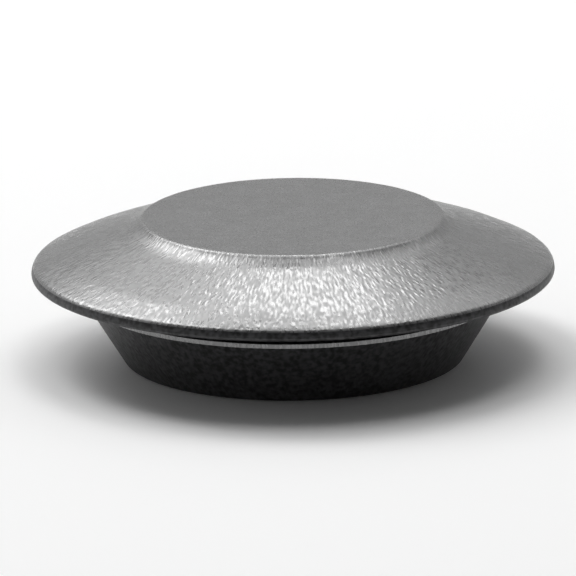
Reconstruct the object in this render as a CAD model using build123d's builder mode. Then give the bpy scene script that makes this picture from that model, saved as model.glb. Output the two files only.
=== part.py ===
from build123d import *
import os
from math import atan2, cos

# Snap-in hole plug: one hollow moulding that closes a round hole punched in a sheet-metal panel.
#
# The flange lands on the panel round the hole, the neck fills the hole and the snap ring grips the far
# side. The plug stands on its nose, +Z points out of the panel, and the origin is the centre of the
# nose's rim. The half section is drawn once and revolved. Lengths are in millimetres, and every height
# in the section is measured from the seat, the plane in which the flange lands on the panel.

# Panel
panel_hole = 34.9  # diameter of the punched hole, 1-3/8 in
panel_thickness = 1.25  # thickest panel that fits between the flange and the snap ring
neck_clearance = 0.2  # between the neck and the hole, all round

# Flange
flange_diameter = 44.5
rim_thickness = 0.9  # height of the flange's edge, before its upper corner is rounded
land_width = 1.2  # flat ring of the flange that lies on the panel
flange_root = 0.95  # thickness of the flange where it meets the neck

# Head: a flat-topped plateau, a short slope round it and a shallow cone that steepens towards the rim
head_height = 5.0  # from the seat to the top of the plateau
plateau_diameter = 25.6  # of the flat top
plateau_slope_height = 0.73  # fall of the slope between the plateau and the cone
plateau_slope_width = 0.87
brow_width = 2.45  # from the flange's edge in to where the cone steepens
brow_height = 2.05  # of the cone there, over the seat

# Skirt
wall = 1.2  # thickness of the plateau, the cone and the skirt
snap_overhang = 0.55  # reach of the snap ring past the edge of the hole, before its edge is bevelled
snap_fall = 0.2  # how far the snap ring's upper face slopes down to its edge
skirt_depth = 7.3  # from the seat to the nose
nose_diameter = 28.8

# Corner radii and bevels
plateau_round = 0.5
foot_round = 4.0
brow_round = 12.0
rim_round = 0.85
nose_round = 0.45
snap_bevel = 0.2
shoulder_bevel = 0.5  # inside, between the skirt's wall and the head

# Radii of the section
flange_radius = flange_diameter / 2
plateau_radius = plateau_diameter / 2
foot_radius = plateau_radius + plateau_slope_width
brow_radius = flange_radius - brow_width
neck_radius = panel_hole / 2 - neck_clearance
snap_radius = panel_hole / 2 + snap_overhang
nose_radius = nose_diameter / 2
hollow_radius = neck_radius - wall

# The cone falls evenly from the foot of the plateau's slope to the brow
foot_height = head_height - plateau_slope_height
cone_slope = (foot_height - brow_height) / (brow_radius - foot_radius)
cone_lean = atan2(cone_slope, 1)

# The skirt tapers evenly from the edge of the snap ring to the nose
snap_edge_height = -panel_thickness - snap_fall
taper_slope = (snap_radius - nose_radius) / (skirt_depth + snap_edge_height)
taper_lean = atan2(taper_slope, 1)


def cone_height(radius, depth):
    """Height, at this radius, of the cone that lies this deep under the head's own."""
    return brow_height + (brow_radius - radius) * cone_slope - depth / cos(cone_lean)


# The hollow follows the outside at one wall thickness
ceiling_height = head_height - wall
ceiling_radius = brow_radius - (ceiling_height - cone_height(brow_radius, wall)) / cone_slope
mouth_radius = nose_radius - wall / cos(taper_lean)
throat_height = -skirt_depth + (hollow_radius - mouth_radius) / taper_slope

# Drawing plane of the half section: local X is the radius, local Y the height over the seat
section_plane = Plane(origin=(0, 0, skirt_depth), x_dir=(1, 0, 0), z_dir=(0, -1, 0))

with BuildPart() as plug:
    with BuildSketch(section_plane) as section:
        with BuildLine():
            # Outside, from the axis over the head to the nose
            plateau = Line((0, head_height), (plateau_radius, head_height))
            slope = Line(plateau @ 1, (foot_radius, foot_height))
            cone = Line(slope @ 1, (brow_radius, brow_height))
            brow = Line(cone @ 1, (flange_radius, rim_thickness))
            rim = Line(brow @ 1, (flange_radius, 0))
            land = Line(rim @ 1, (flange_radius - land_width, 0))
            underside = Line(land @ 1, (neck_radius, cone_height(neck_radius, flange_root)))
            neck = Line(underside @ 1, (neck_radius, -panel_thickness))
            snap_face = Line(neck @ 1, (snap_radius, snap_edge_height))
            taper = Line(snap_face @ 1, (nose_radius, -skirt_depth))
            # Inside, from the nose back to the axis
            nose = Line(taper @ 1, (mouth_radius, -skirt_depth))
            throat = Line(nose @ 1, (hollow_radius, throat_height))
            side = Line(throat @ 1, (hollow_radius, cone_height(hollow_radius, wall)))
            vault = Line(side @ 1, (ceiling_radius, ceiling_height))
            ceiling = Line(vault @ 1, (0, ceiling_height))
            Line(ceiling @ 1, plateau @ 0)
        make_face()
        rounds = [
            (plateau, plateau_round),
            (slope, foot_round),
            (cone, brow_round),
            (brow, rim_round),
            (taper, nose_round),
        ]
        for edge, radius in rounds:
            fillet(section.vertices().sort_by_distance(edge @ 1)[0], radius)
        for edge, length in [(snap_face, snap_bevel), (side, shoulder_bevel)]:
            chamfer(section.vertices().sort_by_distance(edge @ 1)[0], length)
    revolve(axis=Axis.Z)

plug.part.label = "plug"

os.makedirs("parts", exist_ok=True)
export_step(plug.part, "parts/plug.step")
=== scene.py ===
"""Looks of the snap-in hole plug: its moulded surface, a pale floor, studio light and the camera.

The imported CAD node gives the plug's place and box. The piece made here is the same section, revolved
finely enough to carry the moulded grain of the head as real relief, and it stands for the CAD node.
"""
import math

import bmesh
import bpy
from mathutils import Matrix, Vector, noise


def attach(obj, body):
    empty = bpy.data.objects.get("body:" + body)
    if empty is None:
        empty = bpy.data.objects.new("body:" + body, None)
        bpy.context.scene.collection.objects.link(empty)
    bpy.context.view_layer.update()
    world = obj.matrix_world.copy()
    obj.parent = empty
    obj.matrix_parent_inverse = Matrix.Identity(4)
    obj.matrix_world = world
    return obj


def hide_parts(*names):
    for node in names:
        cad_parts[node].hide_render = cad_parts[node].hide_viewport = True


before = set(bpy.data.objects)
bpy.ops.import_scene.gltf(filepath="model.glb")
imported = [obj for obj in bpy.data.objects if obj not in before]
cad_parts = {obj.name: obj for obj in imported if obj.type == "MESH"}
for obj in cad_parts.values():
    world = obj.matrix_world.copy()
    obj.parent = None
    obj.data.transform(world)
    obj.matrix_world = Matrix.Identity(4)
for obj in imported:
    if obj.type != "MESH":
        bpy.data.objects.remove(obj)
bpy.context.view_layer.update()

MM = 0.001

# ---------------------------------------------------------------- sizes of the section, in millimetres
PANEL_HOLE = 34.9
PANEL_THICKNESS = 1.25
NECK_CLEARANCE = 0.2
FLANGE_DIAMETER = 44.5
RIM_THICKNESS = 0.9
LAND_WIDTH = 1.2
FLANGE_ROOT = 0.95
HEAD_HEIGHT = 5.0
PLATEAU_DIAMETER = 25.6
PLATEAU_SLOPE_HEIGHT = 0.73
PLATEAU_SLOPE_WIDTH = 0.87
BROW_DIAMETER = 39.6
BROW_HEIGHT = 2.05
WALL = 1.2
SNAP_OVERHANG = 0.55
SNAP_FALL = 0.2
SKIRT_DEPTH = 7.3
NOSE_DIAMETER = 28.8
PLATEAU_ROUND = 0.5
FOOT_ROUND = 4.0
BROW_ROUND = 12.0
RIM_ROUND = 0.85
RIM_LOWER_ROUND = 0.3
NOSE_ROUND = 0.45
SNAP_BLUNTING = 0.2     # how far the snap ring's edge is cut back to a short upright face
SHOULDER_BEVEL = 0.5

# ---------------------------------------------------------------- how finely the surface is laid out
HEAD_SECTORS = 640
SKIRT_SECTORS = 320
HOLLOW_SECTORS = 160
LEAST_ARC = 0.08        # mm; where a ring's sectors would be narrower than this, it has half as many
LEAST_SECTORS = 10
ARC_STEP = 0.2          # radians; the most that one step of a rounded corner turns

# ---------------------------------------------------------------- the moulded grain, in millimetres
GRAIN_DEPTH = 0.022
GRAIN_ACROSS = 0.4      # size of a cell round the head
GRAIN_ALONG = 0.9       # size of a cell down the slope
PLATEAU_GRAIN = 0.4     # the share of the grain's depth that the plateau has
LAID_RADIUS = FLANGE_DIAMETER / 3   # of the cylinder that the grain of the cone is laid out on
FINE_DEPTH = 0.03       # the finer grain, which is bump
FINE_ACROSS = 0.2
FINE_ALONG = 0.5
WAVER_DEPTH = 0.02      # the slow waver under the grain
WAVER_SIZE = 3.0
INSET = 0.01            # how far the surface lies inside the section, and so inside the CAD node's box

# ---------------------------------------------------------------- finish
# The piece's material slots in order: name, IOR, least roughness, darkest and lightest tone, and the size
# in millimetres of the tone's mottling
GRAINED, DULL = 0, 1
FINISHES = [
    ("plug_plastic_grained", 2.6, 0.2, 0.01, 0.03, 1.6),
    ("plug_plastic_dull", 1.5, 0.4, 0.003, 0.042, 0.45),
]
MOST_ROUGHNESS = 0.44
COOLNESS = 1.05         # blue over red in the tone
TONE_SPAN = (0.36, 0.64)    # the stretch of the noise that takes the tone from its darkest to its lightest
GLOSS_SPAN = (0.3, 0.7)     # and the one that takes the roughness from its least to its most
GLOSS_ACROSS = 0.17     # mm, of the gloss's own mottling
GLOSS_ALONG = 0.7

# ---------------------------------------------------------------- studio, in metres and degrees
# Soft lamps: name, turn from straight behind the plug towards its left, elevation, width and height as
# shares of the lamps' distance, and radiance
LAMPS = [
    ("key", -3.0, 58.0, 0.35, 0.35, 4.5),
    ("left", 45.0, 47.0, 0.38, 0.5, 4.6),
    ("right", -40.0, 50.0, 0.44, 0.6, 1.0),
    ("over_left", 64.0, 68.0, 0.35, 0.35, 3.1),
    ("over_right", -60.0, 75.0, 0.35, 0.35, 2.4),
    ("over_front", 180.0, 86.0, 0.6, 0.2, 1.9),
    ("low_left", 20.0, 42.0, 0.32, 0.54, 0.75),
]
LAMP_DISTANCE = 1.0
BRIGHT_SIDE = (-0.3, 1.0, -0.4)     # where the room is brightest, as seen from the plug
BACK_LEVEL = 0.7
FRONT_LEVEL = 0.1
ROOM_SPAN = 0.6         # how far along BRIGHT_SIDE, either way, the room's level changes
FLOOR_HALF = 3.0
FLOOR_TONE = 0.97
FLOOR_ROUGHNESS = 0.9
SENSOR_WIDTH = 36       # mm
VIEW_ELEVATION = 15.27
VIEW_ROLL = 0.72
VIEW_DISTANCE = 1.2
VIEW_END = 20
VIEW_WIDTH = 0.04895    # what the picture spans at the plug
AIM_RIGHT = -0.00043    # the aim stands this far beside the plug's axis
AIM_UP = -0.0013        # and this far above its seat


def cone_slope():
    foot = PLATEAU_DIAMETER / 2 + PLATEAU_SLOPE_WIDTH
    return (HEAD_HEIGHT - PLATEAU_SLOPE_HEIGHT - BROW_HEIGHT) / (BROW_DIAMETER / 2 - foot)


def cone_height(radius, depth):
    """Height over the seat, at this radius, of the cone that lies this deep under the head's own."""
    slope = cone_slope()
    return BROW_HEIGHT + (BROW_DIAMETER / 2 - radius) * slope - depth * math.hypot(1, slope)


def corners():
    """The half section's corners from the plateau over the outside and back inside to the axis: radius,
    height over the seat and round of the corner, then step, sectors, grain and finish of the run that ends
    there."""
    flange = FLANGE_DIAMETER / 2
    plateau = PLATEAU_DIAMETER / 2
    neck = PANEL_HOLE / 2 - NECK_CLEARANCE
    snap = PANEL_HOLE / 2 + SNAP_OVERHANG
    nose = NOSE_DIAMETER / 2
    hollow = neck - WALL
    snap_edge = -PANEL_THICKNESS - SNAP_FALL
    taper = (snap - nose) / (SKIRT_DEPTH + snap_edge)
    blunt = snap - SNAP_BLUNTING
    snap_top = snap_edge + SNAP_BLUNTING * SNAP_FALL / (snap - neck)
    snap_bottom = snap_edge - SNAP_BLUNTING / taper
    mouth = nose - WALL * math.hypot(1, taper)
    foot = HEAD_HEIGHT - PLATEAU_SLOPE_HEIGHT
    ceiling = HEAD_HEIGHT - WALL
    brow = BROW_DIAMETER / 2
    vault = brow - (ceiling - cone_height(brow, WALL)) / cone_slope()
    shoulder = cone_height(hollow, WALL)
    level = 1 / math.hypot(1, cone_slope())
    rise = cone_slope() * level
    head, skirt, inside = HEAD_SECTORS, SKIRT_SECTORS, HOLLOW_SECTORS
    return [
        (plateau, HEAD_HEIGHT, PLATEAU_ROUND, 0.25, head, PLATEAU_GRAIN, GRAINED),
        (plateau + PLATEAU_SLOPE_WIDTH, foot, FOOT_ROUND, 0.1, head, 0.7, GRAINED),
        (brow, BROW_HEIGHT, BROW_ROUND, 0.21, head, 1.0, GRAINED),
        (flange, RIM_THICKNESS, RIM_ROUND, 0.21, head, 1.0, GRAINED),
        (flange, 0.0, RIM_LOWER_ROUND, 0.1, head, 0.2, DULL),
        (flange - LAND_WIDTH, 0.0, 0.08, 0.4, skirt, 0.0, DULL),
        (neck, cone_height(neck, FLANGE_ROOT), 0.3, 0.5, skirt, 0.2, DULL),
        (neck, -PANEL_THICKNESS, 0.08, 0.5, skirt, 0.2, DULL),
        (blunt, snap_top, 0.03, 0.2, skirt, 0.2, DULL),
        (blunt, snap_bottom, 0.05, 0.05, skirt, 0.2, GRAINED),
        (nose, -SKIRT_DEPTH, NOSE_ROUND, 0.25, skirt, 0.4, DULL),
        (mouth, -SKIRT_DEPTH, 0.1, 0.4, inside, 0.0, DULL),
        (hollow, -SKIRT_DEPTH + (hollow - mouth) / taper, 0.1, 0.5, inside, 0.3, DULL),
        (hollow, shoulder - SHOULDER_BEVEL, 0.1, 0.5, inside, 0.3, DULL),
        (hollow - SHOULDER_BEVEL * level, shoulder + SHOULDER_BEVEL * rise, 0.1, 0.2, inside, 0.3, DULL),
        (vault, ceiling, 0.1, 0.5, inside, 0.3, DULL),
        (0.0, ceiling, 0.0, 0.5, inside, 0.3, DULL),
    ]


def rounded(before, corner, after, radius):
    """The arc of this radius in a corner of the section, as points; the corner itself where it has none."""
    if not radius:
        return [corner]
    into = (corner - before).normalized()
    away = (after - corner).normalized()
    turn = into.angle_signed(away)
    begin = corner - into * radius * math.tan(abs(turn) / 2)
    spoke = Vector((-into.y, into.x)) * math.copysign(radius, turn)
    centre = begin - spoke
    count = max(3, math.ceil(abs(turn) / ARC_STEP))
    arc = []
    for i in range(count + 1):
        angle = -turn * i / count
        across = spoke.x * math.cos(angle) - spoke.y * math.sin(angle)
        up = spoke.x * math.sin(angle) + spoke.y * math.cos(angle)
        arc.append(centre + Vector((across, up)))
    return arc


def rings():
    """The half section as rings for the revolve: radius, height and distance along the section from the
    middle of the plateau, all in millimetres, then sectors, grain and finish."""
    made = [(0.0, HEAD_HEIGHT, 0.0, 1, PLATEAU_GRAIN, GRAINED)]
    rows = corners()
    here = Vector((0.0, HEAD_HEIGHT))
    travelled = 0.0
    for index, (radius, height, rounding, step, sectors, grain, finish) in enumerate(rows):
        corner = Vector((radius, height))
        following = rows[min(index + 1, len(rows) - 1)]
        arc = rounded(here, corner, Vector(following[:2]), rounding)
        count = max(1, round((arc[0] - here).length / step))
        run = [here.lerp(arc[0], i / count) for i in range(1, count + 1)]
        # The second half of a corner's arc has the finish of the run after it
        finishes = [finish] * (count + len(arc) // 2) + [following[-1]] * len(arc)
        for point, own in zip(run + arc[1:], finishes):
            travelled += (point - here).length
            made.append((point.x, point.y, travelled, ring_sectors(point.x, sectors), grain, own))
            here = point
    return made


def ring_sectors(radius, most):
    """Sectors of a ring: halved as often as the ring's size asks for, and one at the axis."""
    if radius < LEAST_ARC:
        return 1
    while most > LEAST_SECTORS and 2 * math.pi * radius / most < LEAST_ARC:
        most //= 2
    return most


def bridge(outer, inner):
    """Corners of the faces between two neighbouring rings, whose numbers of points are equal or one twice
    the other."""
    if len(outer) < len(inner):
        outer, inner = inner, outer
    if len(inner) == 1:
        return [(inner[0], outer[i - 1], outer[i]) for i in range(len(outer))]
    share = len(outer) // len(inner)
    made = []
    for i in range(len(inner)):
        near, far = inner[i - 1], inner[i]
        edge = [outer[((i - 1) * share + k) % len(outer)] for k in range(share + 1)]
        if share == 1:
            made.append((near, edge[0], edge[1], far))
        else:
            made += [(near, edge[0], edge[1]), (near, edge[1], far), (far, edge[1], edge[2])]
    return made


def unrolled(place, travelled):
    """This place laid out for the grain: flat on the plateau, and from its edge on a cylinder."""
    edge = PLATEAU_DIAMETER / 2
    share = LAID_RADIUS / max(math.hypot(place.x, place.y), edge)
    return Vector((place.x * share, place.y * share, max(travelled, edge)))


def grain_depth(place, laid):
    """How deep the moulded grain lies at this place on the head, in millimetres: 0 or less."""
    cell = Vector((laid.x / GRAIN_ACROSS, laid.y / GRAIN_ACROSS, laid.z / GRAIN_ALONG))
    fine = 0.5 + 0.5 * noise.noise(cell)
    broad = 0.5 + 0.5 * noise.noise(place / WAVER_SIZE)
    return -GRAIN_DEPTH * fine - WAVER_DEPTH * broad


def plug_mesh():
    mesh = bmesh.new()
    share = mesh.verts.layers.float.new("grain")
    layout = mesh.verts.layers.float_vector.new("grain_place")
    before = None
    for radius, height, travelled, sectors, grain, finish in rings():
        ring = []
        for i in range(sectors):
            turn = 2 * math.pi * i / sectors
            point = mesh.verts.new((radius * math.cos(turn), radius * math.sin(turn), height))
            point[share] = grain
            point[layout] = unrolled(point.co, travelled)
            ring.append(point)
        for face in bridge(before, ring) if before else ():
            mesh.faces.new(face).material_index = finish
        before = ring
    bmesh.ops.recalc_face_normals(mesh, faces=mesh.faces)
    mesh.normal_update()
    normals = [v.normal.copy() for v in mesh.verts]
    for point, normal in zip(mesh.verts, normals):
        point.co += normal * (grain_depth(point.co, point[layout]) * point[share] - INSET)
        point.co.z += SKIRT_DEPTH
        point.co *= MM
    data = bpy.data.meshes.new("plug_surface")
    mesh.to_mesh(data)
    mesh.free()
    data.shade_smooth()
    return data


def node(tree, kind, **inputs):
    made = tree.nodes.new(kind)
    for name, value in inputs.items():
        made.inputs[name.replace("_", " ")].default_value = value
    return made


def cells(tree, layout, across, along):
    """Noise whose cells have this size in millimetres round the head and down the slope."""
    scaled = tree.nodes.new("ShaderNodeVectorMath")
    scaled.operation = "DIVIDE"
    scaled.inputs[1].default_value = (across, across, along)
    made = node(tree, "ShaderNodeTexNoise", Scale=1.0, Detail=0.0)
    tree.links.new(layout.outputs["Vector"], scaled.inputs[0])
    tree.links.new(scaled.outputs["Vector"], made.inputs["Vector"])
    return made.outputs["Fac"]


def plastic(name, ior, least_roughness, darkest, lightest, mottling):
    """Black moulded polyethylene: a faintly mottled tone and gloss, and the finer grain as bump over the
    relief of the mesh."""
    material = bpy.data.materials.new(name)
    material.use_nodes = True
    tree = material.node_tree
    shader = tree.nodes["Principled BSDF"]
    shader.inputs["IOR"].default_value = ior
    place = tree.nodes.new("ShaderNodeTexCoord")
    tone = node(tree, "ShaderNodeTexNoise", Scale=1 / (mottling * MM), Detail=1.0)
    colour = tree.nodes.new("ShaderNodeValToRGB")
    for end, along, level in zip(colour.color_ramp.elements, TONE_SPAN, (darkest, lightest)):
        end.position = along
        end.color = (level, level, level * COOLNESS, 1)
    tree.links.new(place.outputs["Object"], tone.inputs["Vector"])
    tree.links.new(tone.outputs["Fac"], colour.inputs["Fac"])
    tree.links.new(colour.outputs["Color"], shader.inputs["Base Color"])
    layout = tree.nodes.new("ShaderNodeAttribute")
    layout.attribute_name = "grain_place"
    fine = cells(tree, layout, FINE_ACROSS, FINE_ALONG)
    bump = node(tree, "ShaderNodeBump", Strength=1.0, Distance=FINE_DEPTH * MM)
    tree.links.new(fine, bump.inputs["Height"])
    tree.links.new(bump.outputs["Normal"], shader.inputs["Normal"])
    # The minus sign turns this noise away from the bump's, so that the two don't run together
    mottle = cells(tree, layout, -GLOSS_ACROSS, GLOSS_ALONG)
    gloss = node(
        tree, "ShaderNodeMapRange",
        From_Min=GLOSS_SPAN[0], From_Max=GLOSS_SPAN[1], To_Min=least_roughness, To_Max=MOST_ROUGHNESS,
    )
    tree.links.new(mottle, gloss.inputs["Value"])
    tree.links.new(gloss.outputs["Result"], shader.inputs["Roughness"])
    return material


def make_plug():
    piece = bpy.data.objects.new("plug_moulding", plug_mesh())
    bpy.context.scene.collection.objects.link(piece)
    for finish in FINISHES:
        piece.data.materials.append(plastic(*finish))
    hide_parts("plug")
    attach(piece, "root")


def make_floor():
    data = bpy.data.meshes.new("floor")
    half = FLOOR_HALF
    square = [(-half, -half, 0), (half, -half, 0), (half, half, 0), (-half, half, 0)]
    data.from_pydata(square, [], [(0, 1, 2, 3)])
    floor = bpy.data.objects.new("floor", data)
    bpy.context.scene.collection.objects.link(floor)
    material = bpy.data.materials.new("pale_floor")
    material.use_nodes = True
    tree = material.node_tree
    shader = tree.nodes["Principled BSDF"]
    shader.inputs["Base Color"].default_value = (FLOOR_TONE, FLOOR_TONE, FLOOR_TONE, 1)
    shader.inputs["Roughness"].default_value = FLOOR_ROUGHNESS
    data.materials.append(material)


def make_world():
    """A soft pale room, brightest low behind the plug and a little to its left, darker overhead and in
    front."""
    world = bpy.data.worlds.new("studio")
    bpy.context.scene.world = world
    world.use_nodes = True
    tree = world.node_tree
    around = tree.nodes.new("ShaderNodeTexCoord")
    rise = tree.nodes.new("ShaderNodeVectorMath")
    rise.operation = "DOT_PRODUCT"
    rise.inputs[1].default_value = BRIGHT_SIDE
    level = node(
        tree, "ShaderNodeMapRange",
        From_Min=-ROOM_SPAN, From_Max=ROOM_SPAN, To_Min=FRONT_LEVEL, To_Max=BACK_LEVEL,
    )
    background = tree.nodes["Background"]
    background.inputs["Color"].default_value = (1, 1, 1, 1)
    tree.links.new(around.outputs["Generated"], rise.inputs[0])
    tree.links.new(rise.outputs["Value"], level.inputs["Value"])
    tree.links.new(level.outputs["Result"], background.inputs["Strength"])


def softbox(name, turn, elevation, width, height, radiance):
    """A soft lamp aimed at the plug, as a row of LAMPS gives it."""
    lamp = bpy.data.lights.new(name, "AREA")
    lamp.shape = "RECTANGLE"
    lamp.size = width * LAMP_DISTANCE
    lamp.size_y = height * LAMP_DISTANCE
    lamp.energy = math.pi * lamp.size * lamp.size_y * radiance
    thing = bpy.data.objects.new(name, lamp)
    bpy.context.scene.collection.objects.link(thing)
    turn, elevation = math.radians(turn), math.radians(elevation)
    away = Vector((
        -math.sin(turn) * math.cos(elevation),
        math.cos(turn) * math.cos(elevation),
        math.sin(elevation),
    ))
    thing.location = away * LAMP_DISTANCE
    thing.rotation_mode = "QUATERNION"
    thing.rotation_quaternion = (-away).to_track_quat("-Z", "Y")
    thing.visible_camera = False


def make_camera():
    data = bpy.data.cameras.new("camera")
    data.sensor_width = SENSOR_WIDTH
    data.lens = SENSOR_WIDTH * VIEW_DISTANCE / VIEW_WIDTH
    data.clip_end = VIEW_END
    camera = bpy.data.objects.new("camera", data)
    bpy.context.scene.collection.objects.link(camera)
    elevation = math.radians(VIEW_ELEVATION)
    roll = math.radians(-VIEW_ROLL)
    right = Vector((1, 0, 0))
    back = Vector((0, -math.cos(elevation), math.sin(elevation)))
    up = back.cross(right)
    turned_right = right * math.cos(roll) + up * math.sin(roll)
    turned_up = up * math.cos(roll) - right * math.sin(roll)
    aim = Vector((0, 0, SKIRT_DEPTH * MM)) + turned_right * AIM_RIGHT + turned_up * AIM_UP
    camera.location = aim + back * VIEW_DISTANCE
    camera.rotation_mode = "QUATERNION"
    camera.rotation_quaternion = Matrix((turned_right, turned_up, back)).transposed().to_quaternion()
    bpy.context.scene.camera = camera


make_plug()
make_floor()
make_world()
for settings in LAMPS:
    softbox(*settings)
make_camera()
bpy.context.scene.view_settings.view_transform = "Standard"
